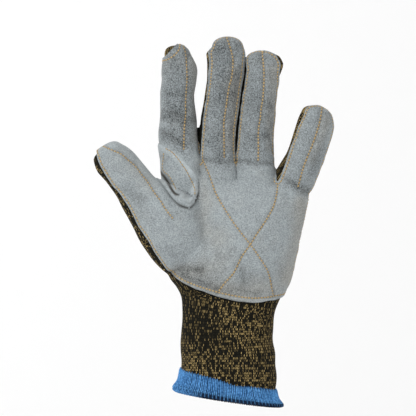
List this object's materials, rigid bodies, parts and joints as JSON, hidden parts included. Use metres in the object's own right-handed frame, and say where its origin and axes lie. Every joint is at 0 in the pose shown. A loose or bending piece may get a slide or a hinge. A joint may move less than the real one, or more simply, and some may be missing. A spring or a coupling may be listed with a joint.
{
  "type": "work glove",
  "caption": "Left-hand knitted work glove with a one-piece split-leather palm, a leather patch over the thumb crotch and a blue hem at its soft wrist cuff.",
  "frame": {"origin": "middle of the mouth that the hand goes in by, inside the hem", "axes": "+Z from the mouth up to the fingertips, -Y out of the palm, +X towards the little finger's side"},
  "size_m": [0.1723, 0.0586, 0.2641],
  "materials": {
    "knit": "melange yarn of black and tan, plain knit",
    "suede": "grey-blue split leather with a short nap",
    "hem_yarn": "blue overlock yarn"
  },
  "bodies": {
    "root": {"knit_cuff": "knit", "knit_hand": "knit", "knit_thumb": "knit", "knit_index": "knit", "knit_middle": "knit", "knit_ring": "knit", "knit_little": "knit", "palm_leather": "suede", "thumb_crotch_patch": "suede", "cuff_hem": "hem_yarn"}
  },
  "joints": []
}
